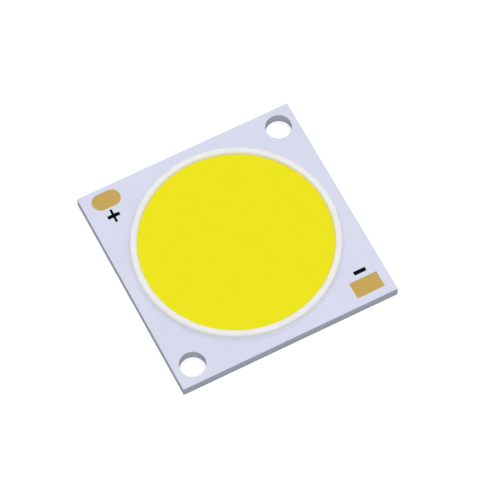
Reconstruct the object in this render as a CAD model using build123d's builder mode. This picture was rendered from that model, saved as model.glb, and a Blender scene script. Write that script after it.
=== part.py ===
from build123d import *
from math import asin, atan2, copysign, cos, degrees, hypot, pi, sin, sqrt
import os

# Chip-on-board LED light source. Millimetres, +Z up, origin under the middle of the board.
# The board is a square aluminium plate with a printed circuit laminated on its face. In a
# round window the LED chips sit on the bare aluminium, wired in strings between two copper
# arcs. A white bead dams the window, and yellow phosphor silicone is cast inside it.

# Board
board_side = 28.0
base_thickness = 1.30
dielectric_thickness = 0.08
copper_thickness = 0.035
plating_thickness = 0.015
mask_thickness = 0.035  # over the copper
screw_hole_diameter = 3.2  # clears an M3 screw
screw_hole_inset = 2.4  # hole centre to each of its two board edges

# Dam bead round the emitting disc
dam_edge_margin = 1.49  # dam's waist to the board edge
dam_width = 0.9  # at its waist
dam_foot_width = 0.84
dam_height = 0.97  # crest above the solder mask
dam_waist_height = 0.35  # above the solder mask
arch_squareness = 3.0  # of the bead's arch, where 2 is an ellipse and more is flatter on top
arch_flats = 7  # short flats that make the bead's arch
mask_inside_dam = 0.1  # mask left showing inside the dam's foot

# Phosphor silicone
fill_below_crest = 0.42  # its edge, under the crest of the dam
meniscus_height = 0.06  # climb against the dam
meniscus_width = 0.3

# Copper arcs that feed the chip strings
land_width = 0.6  # bare copper inside the mask edge
copper_under_mask = 0.35
dielectric_lip = 0.15  # laminate left inside the copper
arc_half_span = 75.0  # degrees each side of its middle

# Solder pads, in windows of the mask
pad_length = 3.6
positive_pad_width = 2.2
positive_pad_inset = (3.0, 1.7)  # pad centre to the left and rear board edges
negative_pad_width = 2.15
negative_pad_inset = (2.95, 2.1)  # pad centre to the right and front board edges
mask_over_pad = 0.2  # mask overlap on the pad's copper
feed_width = 2.0  # copper from pad to arc

# LED chips and their wires
string_count = 6
chips_per_string = 12
chip_length = 0.76
chip_width = 0.76
chip_thickness = 0.15
least_chip_gap = 0.3
array_margin = 0.3  # chips to the laminate's window edge
bond_inset = 0.1  # wire bond to the chip's end
wire_thickness = 0.03
loop_height = 0.15  # wire above the higher of its two bonds
loop_shoulder = 0.06  # level part of the loop beyond the neck
wedge_length = 0.06  # flattened tail on the second bond
land_bond_inset = 0.25  # wire bond from the arc's inner edge

# Heights of the layers
base_top = base_thickness
dielectric_top = base_top + dielectric_thickness
copper_top = dielectric_top + copper_thickness
plating_top = copper_top + plating_thickness
mask_top = copper_top + mask_thickness
chip_top = base_top + chip_thickness

# Radii of the rings, worked inwards from the dam's crest
dam_radius = board_side / 2 - dam_edge_margin - dam_width / 2
dam_inner_radius = dam_radius - dam_foot_width / 2
mask_window_radius = dam_inner_radius - mask_inside_dam
arc_inner_radius = mask_window_radius - land_width
arc_outer_radius = mask_window_radius + copper_under_mask
window_radius = arc_inner_radius - dielectric_lip
array_radius = window_radius - array_margin
bond_radius = arc_inner_radius + land_bond_inset

# The dam's arch springs from its waist, and the fill's surface wets it at this angle about the arch
arch_rise = dam_height - dam_waist_height
wetting_angle = pi - asin((1 - fill_below_crest / arch_rise) ** (arch_squareness / 2))

# Places on the board
screw_hole_place = board_side / 2 - screw_hole_inset
screw_hole_places = [(screw_hole_place, screw_hole_place), (-screw_hole_place, -screw_hole_place)]
positive_pad_place = (positive_pad_inset[0] - board_side / 2, board_side / 2 - positive_pad_inset[1])
negative_pad_place = (board_side / 2 - negative_pad_inset[0], negative_pad_inset[1] - board_side / 2)
positive_side = 180.0  # direction that the arc's middle faces, in degrees
negative_side = 0.0

# The outermost strings lie as far out as a full string still fits in the window
fullest_half_length = chips_per_string * (chip_length + least_chip_gap) / 2
outer_string_y = sqrt(array_radius**2 - fullest_half_length**2) - chip_width / 2
string_spacing = 2 * outer_string_y / (string_count - 1)
string_places = [outer_string_y - index * string_spacing for index in range(string_count)]


def draw_board():
    """Square board outline with its two screw holes."""
    Rectangle(board_side, board_side)
    with Locations(*screw_hole_places):
        Circle(screw_hole_diameter / 2, mode=Mode.SUBTRACT)


def draw_arc(outer_radius, facing):
    """Part ring about the board's middle, from the arc's inner radius outwards."""
    first = facing - arc_half_span
    with BuildLine() as outline:
        outer = CenterArc((0, 0), outer_radius, first, 2 * arc_half_span)
        inner = CenterArc((0, 0), arc_inner_radius, first, 2 * arc_half_span)
        Line(outer @ 0, inner @ 0)
        Line(outer @ 1, inner @ 1)
    make_face(outline.edges())


def draw_positive_pad(overlap=0.0, mode=Mode.ADD):
    """Round-ended pad of the positive terminal."""
    with Locations(positive_pad_place):
        SlotOverall(pad_length + 2 * overlap, positive_pad_width + 2 * overlap, mode=mode)


def draw_negative_pad(overlap=0.0, mode=Mode.ADD):
    """Square-ended pad of the negative terminal."""
    with Locations(negative_pad_place):
        Rectangle(pad_length + 2 * overlap, negative_pad_width + 2 * overlap, mode=mode)


def draw_feed(pad_place):
    """Copper strip that runs from a pad straight towards the board's middle, into the arc."""
    length = hypot(*pad_place) - (arc_inner_radius + arc_outer_radius) / 2
    heading = degrees(atan2(-pad_place[1], -pad_place[0]))
    with Locations(pad_place):
        Rectangle(length, feed_width, rotation=heading, align=(Align.MIN, Align.CENTER))


def draw_wire(first, second):
    """Side view of one bond wire, given as the (x, z) places of its two bonds."""
    ahead = 1 if second[0] > first[0] else -1
    neck = ahead * wire_thickness / 2
    crown = max(first[1], second[1]) + loop_height
    with BuildLine() as outline:
        Polyline(
            (first[0] - neck, first[1]),
            (first[0] - neck, crown),
            (first[0] + neck + ahead * loop_shoulder, crown),
            (second[0] + ahead * wedge_length, second[1]),
            second,
            (first[0] + neck, crown - wire_thickness),
            (first[0] + neck, first[1]),
            close=True,
        )
    make_face(outline.edges())


def arch_point(angle):
    """Point of the dam's arch, half a squared ellipse, as a radius and a height."""
    across = copysign(abs(cos(angle)) ** (2 / arch_squareness), cos(angle))
    rise = sin(angle) ** (2 / arch_squareness)
    return (dam_radius + dam_width / 2 * across, mask_top + dam_waist_height + arch_rise * rise)


def chip_pitch(string_y):
    """Chips are spread evenly over the width that the round window leaves them."""
    half_width = sqrt(array_radius**2 - (abs(string_y) + chip_width / 2) ** 2)
    return 2 * half_width / chips_per_string


# Aluminium base plate
with BuildPart() as aluminium_base:
    with BuildSketch():
        draw_board()
    extrude(amount=base_thickness)
aluminium_base.part.label = "aluminium_base"

# Resin laminate under the circuit, with the round window that bares the aluminium
with BuildPart() as dielectric_layer:
    with BuildSketch(Plane.XY.offset(base_top)):
        draw_board()
        Circle(window_radius, mode=Mode.SUBTRACT)
    extrude(amount=dielectric_thickness)
dielectric_layer.part.label = "dielectric_layer"

# Copper of the two poles, each an arc with a feed to its solder pad
with BuildPart() as positive_trace:
    with BuildSketch(Plane.XY.offset(dielectric_top)):
        draw_arc(arc_outer_radius, positive_side)
        draw_feed(positive_pad_place)
        draw_positive_pad(mask_over_pad)
    extrude(amount=copper_thickness)
positive_trace.part.label = "positive_trace"

with BuildPart() as negative_trace:
    with BuildSketch(Plane.XY.offset(dielectric_top)):
        draw_arc(arc_outer_radius, negative_side)
        draw_feed(negative_pad_place)
        draw_negative_pad(mask_over_pad)
    extrude(amount=copper_thickness)
negative_trace.part.label = "negative_trace"

# White solder mask, moulded over the copper and open at the pads and the emitting disc
with BuildPart() as solder_mask:
    with BuildSketch(Plane.XY.offset(dielectric_top)):
        draw_board()
        Circle(mask_window_radius, mode=Mode.SUBTRACT)
        draw_positive_pad(mode=Mode.SUBTRACT)
        draw_negative_pad(mode=Mode.SUBTRACT)
    extrude(amount=copper_thickness + mask_thickness)
    add(positive_trace.part, mode=Mode.SUBTRACT)
    add(negative_trace.part, mode=Mode.SUBTRACT)
solder_mask.part.label = "solder_mask"

# Gold plating on the bare copper: the two solder pads and the two bond lands
with BuildPart() as positive_pad:
    with BuildSketch(Plane.XY.offset(copper_top)):
        draw_positive_pad()
    extrude(amount=plating_thickness)
positive_pad.part.label = "positive_pad"

with BuildPart() as negative_pad:
    with BuildSketch(Plane.XY.offset(copper_top)):
        draw_negative_pad()
    extrude(amount=plating_thickness)
negative_pad.part.label = "negative_pad"

with BuildPart() as positive_land:
    with BuildSketch(Plane.XY.offset(copper_top)):
        draw_arc(mask_window_radius, positive_side)
    extrude(amount=plating_thickness)
positive_land.part.label = "positive_land"

with BuildPart() as negative_land:
    with BuildSketch(Plane.XY.offset(copper_top)):
        draw_arc(mask_window_radius, negative_side)
    extrude(amount=plating_thickness)
negative_land.part.label = "negative_land"

# Silicone dam: a bead that widens from its foot to its waist and closes in a round arch
with BuildPart() as dam_ring:
    with BuildSketch(Plane.XZ):
        with BuildLine():
            arch = [arch_point(wetting_angle * flat / arch_flats) for flat in range(arch_flats + 1)]
            outer_foot = (dam_radius + dam_foot_width / 2, mask_top)
            Polyline(outer_foot, *arch, (dam_inner_radius, mask_top), close=True)
        make_face()
    revolve(axis=Axis.Z)
dam_ring.part.label = "dam_ring"

# Strings of LED chips across the window, and the wires that join each string end to end
chip_strings = []
wire_strings = []
for number, string_y in enumerate(string_places, start=1):
    pitch = chip_pitch(string_y)
    last_chip_x = (chips_per_string - 1) * pitch / 2
    bond_reach = chip_length / 2 - bond_inset
    land_x = sqrt(bond_radius**2 - string_y**2)

    with BuildPart() as chip_string:
        with BuildSketch(Plane.XY.offset(base_top)):
            with Locations((0, string_y)):
                with GridLocations(pitch, 0, chips_per_string, 1):
                    Rectangle(chip_length, chip_width)
        extrude(amount=chip_thickness)
    chip_string.part.label = f"chip_string_{number}"
    chip_strings.append(chip_string.part)

    with BuildPart() as wire_string:
        with BuildSketch(Plane.XZ.offset(-string_y)):
            for gap in range(chips_per_string - 1):
                chip_x = gap * pitch - last_chip_x
                draw_wire((chip_x + bond_reach, chip_top), (chip_x + pitch - bond_reach, chip_top))
            for side in (-1, 1):
                draw_wire((side * (last_chip_x + bond_reach), chip_top), (side * land_x, plating_top))
        extrude(amount=wire_thickness / 2, both=True)
    wire_string.part.label = f"bond_wires_{number}"
    wire_strings.append(wire_string.part)

# Phosphor silicone, cast over the chips and wires, stepped round the layers and up to the dam
wetting_point = arch_point(wetting_angle)
with BuildPart() as phosphor_fill:
    with BuildSketch(Plane.XZ):
        with BuildLine():
            Polyline(
                (0, base_top),
                (window_radius, base_top),
                (window_radius, dielectric_top),
                (mask_window_radius, dielectric_top),
                (mask_window_radius, mask_top),
                (dam_inner_radius, mask_top),
                wetting_point,
                (wetting_point[0] - meniscus_width, wetting_point[1] - meniscus_height),
                (0, wetting_point[1] - meniscus_height),
                close=True,
            )
        make_face()
    revolve(axis=Axis.Z)
    for conductor in (positive_trace, negative_trace, positive_land, negative_land):
        add(conductor.part, mode=Mode.SUBTRACT)
    add(chip_strings + wire_strings, mode=Mode.SUBTRACT)
phosphor_fill.part.label = "phosphor_fill"

board_pieces = [aluminium_base, dielectric_layer, positive_trace, negative_trace, solder_mask]
plated_pieces = [positive_pad, negative_pad, positive_land, negative_land]
silicone_pieces = [dam_ring, phosphor_fill]
built_pieces = [built.part for built in board_pieces + plated_pieces + silicone_pieces]

os.makedirs("parts", exist_ok=True)
for piece in built_pieces + chip_strings + wire_strings:
    export_step(piece, f"parts/{piece.label}.step")
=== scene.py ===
from math import cos, exp, pi, radians, sin

import bmesh
import bpy
from mathutils import Matrix, Vector


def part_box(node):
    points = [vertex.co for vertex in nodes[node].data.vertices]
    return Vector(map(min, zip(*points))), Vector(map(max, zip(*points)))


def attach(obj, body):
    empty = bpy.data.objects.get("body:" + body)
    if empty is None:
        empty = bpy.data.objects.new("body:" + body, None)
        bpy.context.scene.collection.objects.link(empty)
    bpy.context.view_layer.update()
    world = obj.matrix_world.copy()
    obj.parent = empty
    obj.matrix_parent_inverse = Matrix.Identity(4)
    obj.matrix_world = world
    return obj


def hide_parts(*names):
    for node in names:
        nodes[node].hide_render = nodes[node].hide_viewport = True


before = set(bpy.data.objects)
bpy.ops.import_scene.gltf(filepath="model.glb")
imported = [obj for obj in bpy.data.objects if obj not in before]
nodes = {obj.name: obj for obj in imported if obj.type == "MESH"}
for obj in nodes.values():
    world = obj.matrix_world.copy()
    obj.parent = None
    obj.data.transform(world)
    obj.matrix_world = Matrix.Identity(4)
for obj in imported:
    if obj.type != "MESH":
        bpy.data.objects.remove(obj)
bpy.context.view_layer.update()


# Aluminium base plate
# The plate is punched from rolled sheet. Its underside keeps the long streaks of the rolls,
# and its edges and screw holes show the upright lines of the punch, darker than the faces.


def mm(length):
    """Millimetres as metres."""
    return length / 1000


def paint(red, green, blue):
    """A screen colour, 0 to 255 in each channel, as the linear colour that a shader takes."""
    channels = [value / 255 for value in (red, green, blue)]
    linear = [c / 12.92 if c <= 0.04045 else ((c + 0.055) / 1.055) ** 2.4 for c in channels]
    return (*linear, 1.0)


def add_node(tree, kind, inputs=None, **settings):
    """Adds a node, sets its properties, and fills or links its inputs."""
    made = tree.nodes.new(kind)
    for name, value in settings.items():
        setattr(made, name, value)
    for name, value in (inputs or {}).items():
        if isinstance(value, bpy.types.NodeSocket):
            tree.links.new(value, made.inputs[name])
        else:
            made.inputs[name].default_value = value
    return made


def calculate(tree, operation, first, second=0.0, third=0.0, clamped=False):
    """Output of a Math node."""
    inputs = {0: first, 1: second, 2: third}
    made = add_node(tree, "ShaderNodeMath", inputs, operation=operation, use_clamp=clamped)
    return made.outputs[0]


def calculate_vector(tree, operation, first, second=(0.0, 0.0, 0.0)):
    """Outputs of a Vector Math node: a vector, then a number for the operations that give one."""
    inputs = {0: first, 1: second}
    return add_node(tree, "ShaderNodeVectorMath", inputs, operation=operation).outputs


def split(tree, vector):
    """The X, Y and Z of a vector."""
    return add_node(tree, "ShaderNodeSeparateXYZ", {0: vector}).outputs


def join(tree, x, y, z=0.0):
    """The vector with this X, Y and Z."""
    return add_node(tree, "ShaderNodeCombineXYZ", {0: x, 1: y, 2: z}).outputs[0]


def make_noise(tree, place, fineness, detail):
    """Outputs of a Noise Texture: a value and a colour."""
    inputs = {"Vector": place, "Scale": fineness, "Detail": detail}
    return add_node(tree, "ShaderNodeTexNoise", inputs).outputs


def spread(tree, value, low, high, to_low=0.0, to_high=1.0):
    """Maps the range low to high onto another, smoothly and within its ends."""
    inputs = {
        "Value": value,
        "From Min": low,
        "From Max": high,
        "To Min": to_low,
        "To Max": to_high,
    }
    made = add_node(tree, "ShaderNodeMapRange", inputs, interpolation_type="SMOOTHSTEP")
    return made.outputs[0]


def blend_numbers(tree, share, first, second):
    """Mixes two numbers, with the given share of the second."""
    return add_node(tree, "ShaderNodeMix", {0: share, 2: first, 3: second}).outputs[0]


def blend_colours(tree, share, first, second, most=1.0):
    """Mixes two colours: the share of the second, from 0 to 1, is scaled down to at most most."""
    if most < 1.0:
        share = calculate(tree, "MULTIPLY", share, most)
    inputs = {0: share, 6: first, 7: second}
    return add_node(tree, "ShaderNodeMix", inputs, data_type="RGBA").outputs[2]


def start_group(name, inputs, outputs, kind="ShaderNodeTree"):
    """A node group with named sockets. Returns it, the values it takes in and its outputs."""
    group = bpy.data.node_groups.new(name, kind)
    for label, socket_kind, value in inputs:
        socket = group.interface.new_socket(label, in_out="INPUT", socket_type=socket_kind)
        if value is not None:
            socket.default_value = value
    for label, socket_kind in outputs:
        group.interface.new_socket(label, in_out="OUTPUT", socket_type=socket_kind)
    taken = group.nodes.new("NodeGroupInput").outputs
    given = group.nodes.new("NodeGroupOutput").inputs
    return group, taken, given


def use_group(tree, group, **inputs):
    """Places a group in a tree. Underscores in the names stand for spaces."""
    made = add_node(tree, "ShaderNodeGroup", node_tree=group)
    for name, value in inputs.items():
        socket = made.inputs[name.replace("_", " ")]
        if isinstance(value, bpy.types.NodeSocket):
            tree.links.new(value, socket)
        else:
            socket.default_value = value
    return made.outputs


def start_material(name):
    """A node material. Returns it with its tree, its Principled shader and object coordinates."""
    material = bpy.data.materials.new(name)
    material.use_nodes = True
    tree = material.node_tree
    shader = tree.nodes["Principled BSDF"]
    place = tree.nodes.new("ShaderNodeTexCoord").outputs["Object"]
    return material, tree, shader, place


def emboss(tree, height, depth):
    """Output normal of a Bump node, for a height of 0 to 1 that stands for a real depth."""
    return add_node(tree, "ShaderNodeBump", {"Height": height, "Distance": depth}).outputs["Normal"]


def finish_surface(tree, shader, tone, roughness, normal):
    """Leads a material's colour, roughness and normal to its shader."""
    for label, value in (("Base Color", tone), ("Roughness", roughness), ("Normal", normal)):
        tree.links.new(value, shader.inputs[label])


def dress(material, *names):
    """Gives CAD nodes their material."""
    for name in names:
        mesh = nodes[name].data
        mesh.materials.clear()
        mesh.materials.append(material)


# Grain, in soft lumps or drawn out along an axis, shared by every material
grain, taken, given = start_group(
    "grain",
    [
        ("Place", "NodeSocketVector", None),
        ("Stretch", "NodeSocketVector", (1.0, 1.0, 1.0)),
        ("Size", "NodeSocketFloat", mm(1)),
        ("Low", "NodeSocketFloat", 0.35),
        ("High", "NodeSocketFloat", 0.65),
    ],
    [("Value", "NodeSocketFloat")],
)
stretched = calculate_vector(grain, "MULTIPLY", taken["Place"], taken["Stretch"])[0]
fineness = calculate(grain, "DIVIDE", 1.0, taken["Size"])
lumps = make_noise(grain, stretched, fineness, 3.0)[0]
grain.links.new(spread(grain, lumps, taken["Low"], taken["High"]), given["Value"])

# How near a point is to the board's outline or a screw hole's rim, uneven as handling leaves it
board_side = mm(28)
hole_place = board_side / 2 - mm(2.4)
hole_radius = mm(1.6)
chip_fineness = 2500.0
least_reach = mm(0.001)
rim, taken, given = start_group(
    "board_rim",
    [("Place", "NodeSocketVector", None), ("Width", "NodeSocketFloat", mm(0.1))],
    [("Nearness", "NodeSocketFloat")],
)
apart = split(rim, taken["Place"])
out_x = calculate(rim, "ABSOLUTE", apart[0])
out_y = calculate(rim, "ABSOLUTE", apart[1])
inside_outline = calculate(rim, "SUBTRACT", board_side / 2, calculate(rim, "MAXIMUM", out_x, out_y))
flat_place = join(rim, apart[0], apart[1])
to_holes = [
    calculate_vector(rim, "DISTANCE", flat_place, (side, side, 0.0))[1]
    for side in (hole_place, -hole_place)
]
outside_hole = calculate(rim, "SUBTRACT", calculate(rim, "MINIMUM", *to_holes), hole_radius)
nearest = calculate(rim, "MINIMUM", inside_outline, outside_hole)
chipping = make_noise(rim, taken["Place"], chip_fineness, 2.0)[0]
unevenness = calculate(rim, "MULTIPLY_ADD", chipping, 2.0, -0.2)
reach = calculate(rim, "MULTIPLY", taken["Width"], unevenness)
share = calculate(rim, "DIVIDE", nearest, calculate(rim, "MAXIMUM", reach, least_reach))
rim.links.new(calculate(rim, "SUBTRACT", 1.0, share, clamped=True), given["Nearness"])

# The punch cuts the upper part of an edge clean and tears the part near the underside
clean_above = mm(0.50)
torn_below = mm(0.34)
tear_depth = mm(0.16)

aluminium, tree, shader, place = start_material("punched_aluminium")
facing_up = split(tree, tree.nodes.new("ShaderNodeNewGeometry").outputs["Normal"])[2]
is_face = spread(tree, calculate(tree, "ABSOLUTE", facing_up), 0.4, 0.8)
height = split(tree, place)[2]
rolled = use_group(tree, grain, Place=place, Stretch=(0.04, 1.0, 1.0), Size=mm(0.09))["Value"]
patches = use_group(tree, grain, Place=place, Size=mm(4.0), Low=0.3, High=0.7)["Value"]
punched = use_group(tree, grain, Place=place, Stretch=(1.0, 1.0, 0.06), Size=mm(0.07))["Value"]
torn = use_group(tree, grain, Place=place, Stretch=(1.0, 1.0, 0.5), Size=mm(0.12))["Value"]
worn = use_group(tree, rim, Place=place, Width=mm(0.12))["Nearness"]
ragged_height = calculate(tree, "MULTIPLY_ADD", torn, tear_depth, height)
torn_share = spread(tree, ragged_height, clean_above, torn_below)
edge_tone = blend_colours(tree, punched, paint(158, 161, 174), paint(168, 170, 182))
edge_tone = blend_colours(tree, torn_share, edge_tone, paint(151, 153, 165))
face_tone = blend_colours(tree, rolled, paint(163, 165, 172), paint(178, 180, 186))
face_tone = blend_colours(tree, patches, face_tone, paint(156, 158, 167), most=0.3)
face_tone = blend_colours(tree, worn, face_tone, paint(196, 198, 203), most=0.6)
tone = blend_colours(tree, is_face, edge_tone, face_tone)
edge_polish = spread(tree, torn_share, 0.0, 1.0, 0.36, 0.52)
face_polish = spread(tree, rolled, 0.0, 1.0, 0.27, 0.38)
polish = blend_numbers(tree, is_face, edge_polish, face_polish)
scratches = blend_numbers(tree, is_face, punched, rolled)
finish_surface(tree, shader, tone, polish, emboss(tree, scratches, mm(0.003)))
shader.inputs["Metallic"].default_value = 1.0
shader.inputs["Specular Tint"].default_value = (0.5, 0.51, 0.55, 1.0)
dress(aluminium, "aluminium_base")


# Laminate
# A sheet of resin filled with ceramic powder glues the copper to the plate and insulates it.
# Only its cut edge is seen, as a thin matt line between the aluminium and the solder mask.

# Scattered dots, each cell of the pattern holding one or none
specks, taken, given = start_group(
    "specks",
    [
        ("Place", "NodeSocketVector", None),
        ("Spacing", "NodeSocketFloat", mm(1)),
        ("Radius", "NodeSocketFloat", 0.2),
        ("Share", "NodeSocketFloat", 0.3),
    ],
    [("Value", "NodeSocketFloat")],
)
fineness = calculate(specks, "DIVIDE", 1.0, taken["Spacing"])
cell_inputs = {"Vector": taken["Place"], "Scale": fineness}
cells = add_node(specks, "ShaderNodeTexVoronoi", cell_inputs).outputs
lot = add_node(specks, "ShaderNodeSeparateColor", {0: cells["Color"]}).outputs
own_share = calculate(specks, "MULTIPLY_ADD", lot[1], 0.6, 0.4)
own_radius = calculate(specks, "MULTIPLY", taken["Radius"], own_share)
off_centre = calculate(specks, "DIVIDE", cells["Distance"], own_radius)
dot = calculate(specks, "SUBTRACT", 1.0, off_centre, clamped=True)
chosen = calculate(specks, "LESS_THAN", lot[0], taken["Share"])
shown = calculate(specks, "MULTIPLY", spread(specks, dot, 0.0, 0.5), chosen)
specks.links.new(shown, given["Value"])

laminate, tree, shader, place = start_material("filled_resin")
cloudy = use_group(tree, grain, Place=place, Size=mm(0.2))["Value"]
filler = use_group(tree, specks, Place=place, Spacing=mm(0.03), Radius=0.45, Share=0.5)["Value"]
tone = blend_colours(tree, cloudy, paint(164, 165, 176), paint(174, 175, 184))
tone = blend_colours(tree, filler, tone, paint(196, 197, 203))
polish = spread(tree, filler, 0.0, 1.0, 0.7, 0.5)
finish_surface(tree, shader, tone, polish, emboss(tree, filler, mm(0.002)))
dress(laminate, "dielectric_layer")


# Copper circuit
# Two arcs of rolled copper foil, each with a feed to its solder pad, etched on the laminate.
# The mask and the plating cover them; bare copper has a warm tone with darker oxide clouds.

copper, tree, shader, place = start_material("copper_foil")
drawn = use_group(tree, grain, Place=place, Stretch=(0.1, 1.0, 1.0), Size=mm(0.06))["Value"]
oxide = use_group(tree, grain, Place=place, Size=mm(1.2), Low=0.45, High=0.75)["Value"]
tone = blend_colours(tree, drawn, paint(201, 138, 104), paint(219, 158, 124))
tone = blend_colours(tree, oxide, tone, paint(150, 92, 66), most=0.6)
polish = spread(tree, oxide, 0.0, 1.0, 0.3, 0.5)
finish_surface(tree, shader, tone, polish, emboss(tree, drawn, mm(0.001)))
shader.inputs["Metallic"].default_value = 1.0
dress(copper, "positive_trace", "negative_trace")


# Solder mask
# White epoxy with a cold tint, screen printed over the whole board but the pads and the disc.
# It levels to a fine orange peel, and lies a trace higher where copper feeds run under it.

mask_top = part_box("solder_mask")[1].z
pad_places = [(mm(-11.0), mm(12.3)), (mm(11.05), mm(-11.9))]
feed_width = mm(2.0)
ridge_overlap = mm(0.04)
ridge_slope = mm(0.1)

# A low, soft ridge along a feed: its run starts at a pad and heads for the board's middle
ridge, taken, given = start_group(
    "feed_ridge",
    [
        ("Place", "NodeSocketVector", None),
        ("Pad", "NodeSocketVector", None),
        ("Width", "NodeSocketFloat", feed_width),
    ],
    [("Height", "NodeSocketFloat")],
)
heading = calculate_vector(ridge, "NORMALIZE", taken["Pad"])[0]
along = calculate_vector(ridge, "DOT_PRODUCT", taken["Place"], heading)[1]
across = calculate_vector(ridge, "CROSS_PRODUCT", taken["Place"], heading)[0]
off_line = calculate(ridge, "ABSOLUTE", split(ridge, across)[2])
half_width = calculate(ridge, "MULTIPLY", taken["Width"], 0.5)
overhang = calculate(ridge, "SUBTRACT", off_line, half_width)
slope = spread(ridge, overhang, -ridge_overlap, ridge_slope, 1.0, 0.0)
on_pad_side = calculate(ridge, "GREATER_THAN", along, 0.0)
ridge.links.new(calculate(ridge, "MULTIPLY", slope, on_pad_side), given["Height"])

white_mask, tree, shader, place = start_material("white_solder_mask")
peel = use_group(tree, grain, Place=place, Size=mm(0.28), Low=0.25, High=0.75)["Value"]
cloudy = use_group(tree, grain, Place=place, Size=mm(5.0), Low=0.3, High=0.7)["Value"]
pigment = use_group(tree, specks, Place=place, Spacing=mm(0.11), Radius=0.3, Share=0.25)["Value"]
dust = use_group(tree, specks, Place=place, Spacing=mm(1.7), Radius=0.03, Share=0.5)["Value"]
worn = use_group(tree, rim, Place=place, Width=mm(0.07))["Nearness"]
tone = blend_colours(tree, cloudy, paint(213, 216, 236), paint(216, 219, 238))
tone = blend_colours(tree, pigment, tone, paint(224, 226, 240), most=0.35)
tone = blend_colours(tree, dust, tone, paint(180, 181, 192), most=0.5)
tone = blend_colours(tree, worn, tone, paint(200, 202, 216), most=0.5)
gloss = spread(tree, peel, 0.0, 1.0, 0.36, 0.44)
polish = calculate(tree, "MULTIPLY_ADD", worn, 0.2, gloss)
feeds = [
    use_group(tree, ridge, Place=place, Pad=(x, y, 0.0), Width=feed_width)["Height"]
    for x, y in pad_places
]
relief = calculate(tree, "MAXIMUM", *feeds)
surface = calculate(tree, "MULTIPLY_ADD", peel, 0.12, calculate(tree, "MULTIPLY", relief, 0.5))
surface = calculate(tree, "MULTIPLY_ADD", worn, -0.6, surface)
finish_surface(tree, shader, tone, polish, emboss(tree, surface, mm(0.008)))
dress(white_mask, "solder_mask")


# Solder pads and bond lands
# The bare copper is plated with nickel and a thin skin of gold, which follows the foil's grain:
# a satin, slightly nodular gold with duller, browner clouds and a few light scuffs.

gold_plate, tree, shader, place = start_material("gold_plating")
nodules = use_group(tree, grain, Place=place, Size=mm(0.07))["Value"]
clouds = use_group(tree, grain, Place=place, Size=mm(0.8), Low=0.3, High=0.7)["Value"]
scuffs = use_group(
    tree, grain, Place=place, Stretch=(0.15, 1.0, 1.0), Size=mm(0.05), Low=0.55, High=0.7
)["Value"]
tone = blend_colours(tree, nodules, paint(199, 166, 90), paint(204, 172, 97))
tone = blend_colours(tree, clouds, tone, paint(194, 159, 85), most=0.3)
tone = blend_colours(tree, scuffs, tone, paint(214, 184, 116), most=0.25)
polish = spread(tree, nodules, 0.0, 1.0, 0.34, 0.46)
finish_surface(tree, shader, tone, polish, emboss(tree, nodules, mm(0.002)))
shader.inputs["Metallic"].default_value = 1.0
dress(gold_plate, "positive_pad", "negative_pad", "positive_land", "negative_land")


# Silicone dam
# A bead of white silicone, laid round the disc by a dosing needle and cured before the fill.
# It bulges over its foot, stands round-topped, and wavers a little as the needle's flow does.

dam_radius = mm(12.06)
dam_half_width = mm(0.45)
dam_waist = mask_top + mm(0.35)
dam_squareness = 3.0  # flatter on top than an ellipse, which is 2
dam_waver = mm(0.006)
dam_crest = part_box("dam_ring")[1].z - dam_waver - mm(0.001)
arch_rise = dam_crest - dam_waist
foot_tuck = mm(0.03)
toe_reach = mm(0.07)
toe_height = mm(0.16)
arch_steps = 24
flank_steps = 12
flank_crowding = 1.5  # above 1, the steps crowd towards the foot
turns = 288
weld_distance = 1e-7
hard_angle = radians(40)


def flank_reach(height):
    """Half the bead's width under its waist: it tucks in a little, then runs out in a thin toe."""
    drop = (dam_waist - height) / (dam_waist - mask_top)
    toe = max(0.0, 1 - (height - mask_top) / toe_height)
    return dam_half_width - foot_tuck * drop**2 + toe_reach * toe**2


def arch_reach(rise):
    """Half the bead's width over its waist, for a rise of 0 at the waist to 1 at the crest."""
    return dam_half_width * max(0.0, 1 - rise**dam_squareness) ** (1 / dam_squareness)


# The bead's section, up its outer side, over the crest and down its inner side
flank = [
    mask_top + (dam_waist - mask_top) * (step / flank_steps) ** flank_crowding
    for step in range(flank_steps)
]
rises = [sin(pi / 2 * step / arch_steps) ** (2 / dam_squareness) for step in range(arch_steps + 1)]
outer_side = [(flank_reach(height), height) for height in flank]
outer_side += [(arch_reach(rise), dam_waist + arch_rise * rise) for rise in rises]
dam_section = [(dam_radius + reach, height) for reach, height in outer_side]
dam_section += [(dam_radius - reach, height) for reach, height in reversed(outer_side[:-1])]
dam_section.append(dam_section[0])

# Turns a section, given as a chain of points, about the Z axis, with a fine waver above its foot
turning, taken, given = start_group(
    "turned_bead",
    [
        ("Section", "NodeSocketGeometry", None),
        ("Turns", "NodeSocketInt", turns),
        ("Waver", "NodeSocketFloat", 0.0),
        ("Waves", "NodeSocketFloat", 6.0),
        ("Foot Height", "NodeSocketFloat", 0.0),
        ("Crest Height", "NodeSocketFloat", mm(1)),
        ("Seed", "NodeSocketFloat", 3.0),
        ("Finish", "NodeSocketMaterial", None),
    ],
    [("Bead", "NodeSocketGeometry")],
    "GeometryNodeTree",
)
domain = add_node(turning, "GeometryNodeAttributeDomainSize", {"Geometry": taken["Section"]})
points = domain.outputs["Point Count"]
columns = calculate(turning, "ADD", taken["Turns"], 1.0)
sheet_inputs = {"Size X": 1.0, "Size Y": 1.0, "Vertices X": columns, "Vertices Y": points}
sheet = add_node(turning, "GeometryNodeMeshGrid", sheet_inputs).outputs["Mesh"]
position = turning.nodes.new("GeometryNodeInputPosition").outputs[0]
sheet_place = split(turning, position)
turn_share = calculate(turning, "ADD", sheet_place[0], 0.5)
turn = calculate(turning, "MULTIPLY", turn_share, 2 * pi)
row_share = calculate(turning, "ADD", sheet_place[1], 0.5)
last_row = calculate(turning, "SUBTRACT", points, 1.0)
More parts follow.
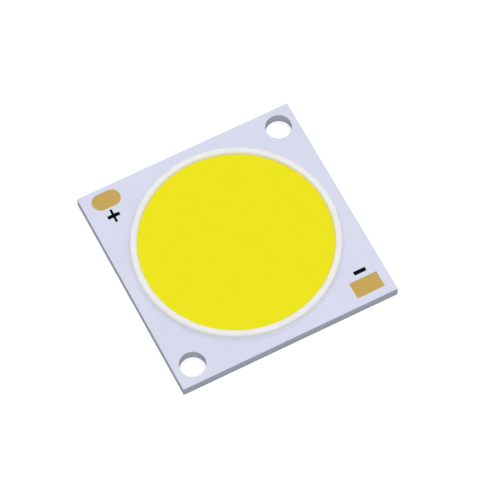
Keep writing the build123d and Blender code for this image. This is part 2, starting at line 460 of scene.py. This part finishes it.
row = calculate(turning, "ROUND", calculate(turning, "MULTIPLY", row_share, last_row))
sample = add_node(
    turning,
    "GeometryNodeSampleIndex",
    {"Geometry": taken["Section"], "Value": position, "Index": row},
    data_type="FLOAT_VECTOR",
)
section = split(turning, sample.outputs[0])
ahead = calculate(turning, "COSINE", turn)
aside = calculate(turning, "SINE", turn)
around = join(turning, ahead, aside, taken["Seed"])
flow = make_noise(turning, around, taken["Waves"], 2.0)["Color"]
flow_apart = add_node(turning, "FunctionNodeSeparateColor", {0: flow}).outputs
swings = [
    calculate(turning, "MULTIPLY_ADD", flow_apart[channel], 2.0, -1.0) for channel in (0, 1)
]
lift = spread(turning, section[2], taken["Foot Height"], taken["Crest Height"])
sway = calculate(turning, "MULTIPLY", lift, taken["Waver"])
radius = calculate(turning, "MULTIPLY_ADD", sway, swings[0], section[0])
height = calculate(turning, "MULTIPLY_ADD", sway, swings[1], section[2])
turned = join(
    turning,
    calculate(turning, "MULTIPLY", radius, ahead),
    calculate(turning, "MULTIPLY", radius, aside),
    height,
)
bead = sheet
for kind, inputs in (
    ("GeometryNodeSetPosition", {"Position": turned}),
    ("GeometryNodeMergeByDistance", {"Distance": weld_distance}),
    ("GeometryNodeRealizeInstances", {}),
    ("GeometryNodeSetMaterial", {"Material": taken["Finish"]}),
):
    bead = add_node(turning, kind, {"Geometry": bead, **inputs}).outputs[0]
turning.links.new(bead, given["Bead"])


def chain(name, points):
    """A chain of (radius, height) points as a mesh of loose vertices in the XZ plane."""
    mesh = bpy.data.meshes.new(name)
    mesh.from_pydata([(radius, 0.0, height) for radius, height in points], [], [])
    return mesh


def grow(name, base_mesh, tree, **inputs):
    """Runs a Geometry Nodes tree on a mesh and keeps the result as a plain, closed piece."""
    piece = bpy.data.objects.new(name, base_mesh)
    bpy.context.scene.collection.objects.link(piece)
    modifier = piece.modifiers.new("shape", "NODES")
    modifier.node_group = tree
    sockets = {
        item.name: item.identifier
        for item in tree.interface.items_tree
        if item.item_type == "SOCKET"
    }
    for label, value in inputs.items():
        modifier[sockets[label.replace("_", " ")]] = value
    depsgraph = bpy.context.evaluated_depsgraph_get()
    mesh = bpy.data.meshes.new_from_object(piece.evaluated_get(depsgraph))
    piece.modifiers.clear()
    piece.data = mesh
    shell = bmesh.new()
    shell.from_mesh(mesh)
    bmesh.ops.remove_doubles(shell, verts=shell.verts, dist=weld_distance)
    bmesh.ops.recalc_face_normals(shell, faces=shell.faces)
    for face in shell.faces:
        face.smooth = True
    shell.to_mesh(mesh)
    shell.free()
    mesh.set_sharp_from_angle(angle=hard_angle)
    return piece


# Painted light: yellow light reflected from the fill on the inner side, and lighter low flanks
# against shade
yellow_bounce_edge = (mm(11.66), mm(11.86))
painted_light_heights = (dam_waist - mm(0.05), dam_waist + mm(0.25))

white_silicone, tree, shader, place = start_material("white_silicone")
skin = use_group(tree, grain, Place=place, Size=mm(0.12), Low=0.3, High=0.7)["Value"]
flow_marks = use_group(tree, grain, Place=place, Size=mm(1.4), Low=0.3, High=0.7)["Value"]
bubbles = use_group(tree, specks, Place=place, Spacing=mm(0.5), Radius=0.09, Share=0.25)["Value"]
flat_place = calculate_vector(tree, "MULTIPLY", place, (1.0, 1.0, 0.0))[0]
from_axis = calculate_vector(tree, "LENGTH", flat_place)[1]
# Painted reflected light: a pale yellow tint on the inner wall stands for light bounced from the
# fill
painted_yellow_bounce = spread(tree, from_axis, *yellow_bounce_edge, 0.5, 0.0)
# Painted light: the low flanks are painted lighter to offset the shade near the bead's foot
painted_light_flank = spread(tree, split(tree, place)[2], *painted_light_heights, 1.0, 0.0)
tone = blend_colours(tree, flow_marks, paint(234, 234, 233), paint(239, 239, 239))
tone = blend_colours(tree, painted_light_flank, tone, paint(247, 247, 249))
tone = blend_colours(tree, bubbles, tone, paint(222, 221, 222), most=0.5)
tone = blend_colours(tree, painted_yellow_bounce, tone, paint(234, 231, 214))
polish = spread(tree, skin, 0.0, 1.0, 0.3, 0.42)
surface = calculate(tree, "MULTIPLY_ADD", bubbles, -0.8, calculate(tree, "MULTIPLY", skin, 0.3))
finish_surface(tree, shader, tone, polish, emboss(tree, surface, mm(0.006)))

dam_bead = grow(
    "dam_bead",
    chain("dam_section", dam_section),
    turning,
    Turns=turns,
    Waver=dam_waver,
    Waves=5.0,
    Foot_Height=mask_top,
    Crest_Height=dam_crest,
    Finish=white_silicone,
)
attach(dam_bead, "root")
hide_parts("dam_ring")


# Phosphor fill
# Clear silicone stirred full of yellow phosphor powder, cast over the chips up to the dam.
# It levels dead flat, climbs the dam's wall in a small meniscus, and shows the powder's grain.

fill_level = mask_top + mm(0.49)
fill_climb = mm(0.06)
climb_reach = mm(0.11)
fill_edge = fill_level + fill_climb
fill_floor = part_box("phosphor_fill")[0].z
wall_overlap = mm(0.012)
surface_steps = 40
surface_crowding = 2.6  # above 1, the steps crowd towards the rim
wall_steps = 12
mask_window = mm(11.53)
laminate_window = mm(10.78)
over_lands = mm(1.432)  # a hair above the plated lands


def fill_wall(height):
    """Radius at which the fill meets the dam's inner wall, a hair into the bead."""
    if height < dam_waist:
        return dam_radius - flank_reach(height) + wall_overlap
    return dam_radius - arch_reach((height - dam_waist) / arch_rise) + wall_overlap


# The fill's section, from the middle of its surface out to the dam, down and back to the axis
rim_radius = fill_wall(fill_edge)
fill_section = []
for step in range(surface_steps + 1):
    reached = rim_radius * (1 - (1 - step / surface_steps) ** surface_crowding)
    climb = fill_climb * exp((reached - rim_radius) / climb_reach)
    fill_section.append((reached, fill_level + climb))
for step in range(1, wall_steps + 1):
    height = fill_edge + (mask_top - fill_edge) * step / wall_steps
    fill_section.append((fill_wall(height), height))
fill_section += [
    (mask_window, mask_top),
    (mask_window, over_lands),
    (laminate_window, over_lands),
    (laminate_window, fill_floor),
    (0.0, fill_floor),
]

phosphor, tree, shader, place = start_material("phosphor_silicone")
powder = use_group(tree, grain, Place=place, Size=mm(0.05), Low=0.3, High=0.7)["Value"]
settled = use_group(tree, grain, Place=place, Size=mm(3.5), Low=0.25, High=0.75)["Value"]
coarse = use_group(tree, specks, Place=place, Spacing=mm(0.16), Radius=0.22, Share=0.3)["Value"]
deep = use_group(tree, specks, Place=place, Spacing=mm(0.23), Radius=0.2, Share=0.25)["Value"]
tone = blend_colours(tree, powder, paint(236, 227, 12), paint(240, 232, 20))
tone = blend_colours(tree, settled, tone, paint(237, 226, 20), most=0.3)
tone = blend_colours(tree, coarse, tone, paint(246, 238, 50), most=0.4)
tone = blend_colours(tree, deep, tone, paint(228, 208, 12), most=0.35)
polish = spread(tree, powder, 0.0, 1.0, 0.46, 0.58)
surface = calculate(tree, "MULTIPLY_ADD", coarse, 0.5, calculate(tree, "MULTIPLY", powder, 0.4))
finish_surface(tree, shader, tone, polish, emboss(tree, surface, mm(0.002)))
shader.inputs["Specular IOR Level"].default_value = 0.12

phosphor_disc = grow(
    "phosphor_disc",
    chain("fill_section", fill_section),
    turning,
    Turns=turns,
    Waver=0.0,
    Foot_Height=mask_top,
    Crest_Height=dam_crest,
    Finish=phosphor,
)
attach(phosphor_disc, "root")
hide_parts("phosphor_fill")


# LED chips
# Six strings of small blue-emitting dice, sapphire with a thin light-making layer on top.
# The phosphor covers them whole; each is glassy, cold in tone and finely stepped by its circuit.

strings = range(1, 7)
chip_glass, tree, shader, place = start_material("chip_sapphire")
steps = use_group(tree, specks, Place=place, Spacing=mm(0.19), Radius=0.4, Share=0.6)["Value"]
haze = use_group(tree, grain, Place=place, Size=mm(0.3))["Value"]
tone = blend_colours(tree, haze, paint(170, 186, 200), paint(188, 201, 212))
tone = blend_colours(tree, steps, tone, paint(206, 198, 150))
polish = spread(tree, haze, 0.0, 1.0, 0.12, 0.22)
finish_surface(tree, shader, tone, polish, emboss(tree, steps, mm(0.002)))
dress(chip_glass, *[f"chip_string_{number}" for number in strings])


# Bond wires
# Gold wire, 0.03 mm thick, welded by heat and ultrasound from chip to chip and out to the
# plated lands. Drawing through dies leaves it bright, with faint lengthwise lines.

wire_gold, tree, shader, place = start_material("wire_gold")
die_lines = use_group(tree, grain, Place=place, Stretch=(0.1, 1.0, 1.0), Size=mm(0.01))["Value"]
heat = use_group(tree, grain, Place=place, Size=mm(0.4))["Value"]
tone = blend_colours(tree, die_lines, paint(226, 186, 104), paint(240, 204, 128))
tone = blend_colours(tree, heat, tone, paint(214, 168, 88), most=0.3)
polish = spread(tree, die_lines, 0.0, 1.0, 0.15, 0.25)
finish_surface(tree, shader, tone, polish, emboss(tree, die_lines, mm(0.0005)))
shader.inputs["Metallic"].default_value = 1.0
dress(wire_gold, *[f"bond_wires_{number}" for number in strings])


# Polarity signs
# A plus beside the round-ended pad and a minus beside the square-ended one, in black epoxy ink
# screen printed on the mask: a low, even film with soft corners and a soft edge.

ink_depth = mm(0.018)
ink_seat = mm(0.001)
corner_round = mm(0.035)
corner_steps = 4
edge_round = ink_depth * 0.45
edge_steps = 3
plus_place = (mm(-11.12), mm(10.02))
plus_arm_x = (mm(1.55), mm(0.45))  # length and stroke of the arm along X
plus_arm_y = (mm(0.30), mm(1.80))  # stroke and length of the arm along Y
minus_place = (mm(11.13), mm(-9.94))
minus_bar = (mm(1.56), mm(0.50))

black_ink, tree, shader, place = start_material("black_ink")
film = use_group(tree, grain, Place=place, Size=mm(0.06))["Value"]
pinholes = use_group(tree, specks, Place=place, Spacing=mm(0.12), Radius=0.16, Share=0.2)["Value"]
tone = blend_colours(tree, film, paint(2, 3, 4), paint(7, 8, 9))
tone = blend_colours(tree, pinholes, tone, paint(30, 31, 35), most=0.5)
polish = spread(tree, film, 0.0, 1.0, 0.6, 0.75)
finish_surface(tree, shader, tone, polish, emboss(tree, film, mm(0.002)))
shader.inputs["Specular IOR Level"].default_value = 0.04


def print_sign(name, outline, middle):
    """Lays a film of ink over an outline of corners, counted from the sign's own middle."""
    sheet = bmesh.new()
    foot = mask_top - ink_seat
    corners = [sheet.verts.new((x + middle[0], y + middle[1], foot)) for x, y in outline]
    sheet.faces.new(corners)
    bmesh.ops.bevel(
        sheet,
        geom=list(sheet.verts),
        offset=corner_round,
        segments=corner_steps,
        profile=0.5,
        affect="VERTICES",
    )
    top = bmesh.ops.extrude_face_region(sheet, geom=list(sheet.faces))
    raised = [item for item in top["geom"] if isinstance(item, bmesh.types.BMVert)]
    bmesh.ops.translate(sheet, verts=raised, vec=(0.0, 0.0, ink_depth + ink_seat))
    bmesh.ops.recalc_face_normals(sheet, faces=sheet.faces)
    halfway = mask_top + ink_depth / 2
    top_edges = [edge for edge in sheet.edges if all(vert.co.z > halfway for vert in edge.verts)]
    bmesh.ops.bevel(
        sheet,
        geom=top_edges,
        offset=edge_round,
        segments=edge_steps,
        profile=0.5,
        affect="EDGES",
    )
    mesh = bpy.data.meshes.new(name)
    sheet.to_mesh(mesh)
    sheet.free()
    mesh.materials.append(black_ink)
    sign = bpy.data.objects.new(name, mesh)
    bpy.context.scene.collection.objects.link(sign)
    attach(sign, "root")


reach_x, low_y = plus_arm_x[0] / 2, plus_arm_x[1] / 2
low_x, reach_y = plus_arm_y[0] / 2, plus_arm_y[1] / 2
plus_outline = [
    (reach_x, -low_y),
    (reach_x, low_y),
    (low_x, low_y),
    (low_x, reach_y),
    (-low_x, reach_y),
    (-low_x, low_y),
    (-reach_x, low_y),
    (-reach_x, -low_y),
    (-low_x, -low_y),
    (-low_x, -reach_y),
    (low_x, -reach_y),
    (low_x, -low_y),
]
print_sign("plus_sign", plus_outline, plus_place)
bar_x, bar_y = minus_bar[0] / 2, minus_bar[1] / 2
minus_outline = [(bar_x, -bar_y), (bar_x, bar_y), (-bar_x, bar_y), (-bar_x, -bar_y)]
print_sign("minus_sign", minus_outline, minus_place)


# Studio
# A white floor that keeps the board's soft shadow, a plain white sky that is brightest overhead,
# one weak soft lamp at the front right, and a camera that looks down as the photo does.

floor_size = 3.0
floor_drop = mm(0.01)
floor_white = 0.50
floor_glow = 0.65
floor_fade = (mm(26), mm(60))  # past this, the floor is plain white and keeps no shadow

floor_mesh = bpy.data.meshes.new("floor")
half_floor = floor_size / 2
floor_corners = [(-1, -1), (1, -1), (1, 1), (-1, 1)]
floor_points = [(x * half_floor, y * half_floor, -floor_drop) for x, y in floor_corners]
floor_mesh.from_pydata(floor_points, [], [(0, 1, 2, 3)])
floor = bpy.data.objects.new("floor", floor_mesh)
bpy.context.scene.collection.objects.link(floor)
floor.visible_diffuse = False
floor.visible_shadow = False
floor_paper = bpy.data.materials.new("floor_paper")
floor_paper.use_nodes = True
tree = floor_paper.node_tree
tree.nodes.remove(tree.nodes["Principled BSDF"])
rays = tree.nodes.new("ShaderNodeLightPath").outputs
seen_white = calculate(tree, "MAXIMUM", rays["Is Glossy Ray"], rays["Is Transmission Ray"])
floor_place = tree.nodes.new("ShaderNodeTexCoord").outputs["Object"]
from_middle = calculate_vector(tree, "LENGTH", floor_place)[1]
far = spread(tree, from_middle, *floor_fade)
paper_colour = (floor_white, floor_white, floor_white, 1.0)
paper = add_node(tree, "ShaderNodeBsdfDiffuse", {"Color": paper_colour}).outputs[0]
glow = add_node(tree, "ShaderNodeEmission", {"Strength": floor_glow}).outputs[0]
white = add_node(tree, "ShaderNodeEmission", {"Strength": 1.0}).outputs[0]
near_floor = add_node(tree, "ShaderNodeAddShader", {0: paper, 1: glow}).outputs[0]
plain_share = calculate(tree, "MAXIMUM", seen_white, far)
top_inputs = {0: plain_share, 1: near_floor, 2: white}
top_side = add_node(tree, "ShaderNodeMixShader", top_inputs).outputs[0]
clear = tree.nodes.new("ShaderNodeBsdfTransparent").outputs[0]
below = tree.nodes.new("ShaderNodeNewGeometry").outputs["Backfacing"]
both_sides = add_node(tree, "ShaderNodeMixShader", {0: below, 1: top_side, 2: clear}).outputs[0]
tree.links.new(both_sides, tree.nodes["Material Output"].inputs["Surface"])
floor_mesh.materials.append(floor_paper)

sky_low = 0.61
sky_high = 2.38
sky_cap = (0.80, 0.98)  # upward part of a direction, from the cap's edge to its full strength
pure_white = (1.0, 1.0, 1.0, 1.0)

world = bpy.data.worlds.new("studio")
world.use_nodes = True
bpy.context.scene.world = world
tree = world.node_tree
rays = tree.nodes.new("ShaderNodeLightPath").outputs
seen_white = calculate(tree, "MAXIMUM", rays["Is Camera Ray"], rays["Is Glossy Ray"])
seen_white = calculate(tree, "MAXIMUM", seen_white, rays["Is Transmission Ray"])
upward = split(tree, tree.nodes.new("ShaderNodeTexCoord").outputs["Generated"])[2]
sky_strength = spread(tree, upward, *sky_cap, sky_low, sky_high)
sky, backdrop = (
    add_node(tree, "ShaderNodeBackground", {"Color": pure_white, "Strength": strength}).outputs[0]
    for strength in (sky_strength, 1.0)
)
surround = add_node(tree, "ShaderNodeMixShader", {0: seen_white, 1: sky, 2: backdrop}).outputs[0]
tree.links.new(surround, tree.nodes["World Output"].inputs["Surface"])

lamp_place = Vector((0.55, -0.45, 0.84))
lamp_data = bpy.data.lights.new("window_lamp", "AREA")
lamp_data.shape = "SQUARE"
lamp_data.size = 0.60
lamp_data.energy = 0.40
lamp = bpy.data.objects.new("window_lamp", lamp_data)
bpy.context.scene.collection.objects.link(lamp)
lamp.location = lamp_place
lamp.rotation_mode = "QUATERNION"
lamp.rotation_quaternion = lamp_place.to_track_quat("Z", "Y")

azimuth = radians(-25.256)
elevation = radians(62.973)
roll = radians(-2.171)
distance = mm(425.44)
focal_pixels = 3621.9
picture_side = 500
sensor_width = 36.0
sight_centre = (236.275, 243.606)  # the pixel where the board's middle shows

level_back = Vector((sin(azimuth), -cos(azimuth), 0.0))
backward = cos(elevation) * level_back + sin(elevation) * Vector((0.0, 0.0, 1.0))
level_right = Vector((cos(azimuth), sin(azimuth), 0.0))
level_up = backward.cross(level_right)
right = cos(roll) * level_right + sin(roll) * level_up
up = -sin(roll) * level_right + cos(roll) * level_up
shift_x = -(sight_centre[0] - picture_side / 2) / focal_pixels * distance
shift_y = (sight_centre[1] - picture_side / 2) / focal_pixels * distance
board_middle = Vector((0.0, 0.0, mask_top))
stand = board_middle + shift_x * right + shift_y * up + distance * backward
camera_data = bpy.data.cameras.new("camera")
camera_data.sensor_width = sensor_width
camera_data.lens = focal_pixels / picture_side * sensor_width
camera_data.clip_start = 0.02
camera_data.clip_end = 20.0
camera = bpy.data.objects.new("camera", camera_data)
bpy.context.scene.collection.objects.link(camera)
camera_turn = Matrix((right, up, backward)).transposed()
camera.matrix_world = Matrix.Translation(stand) @ camera_turn.to_4x4()
bpy.context.scene.camera = camera
bpy.context.scene.view_settings.view_transform = "Standard"

bpy.context.view_layer.update()
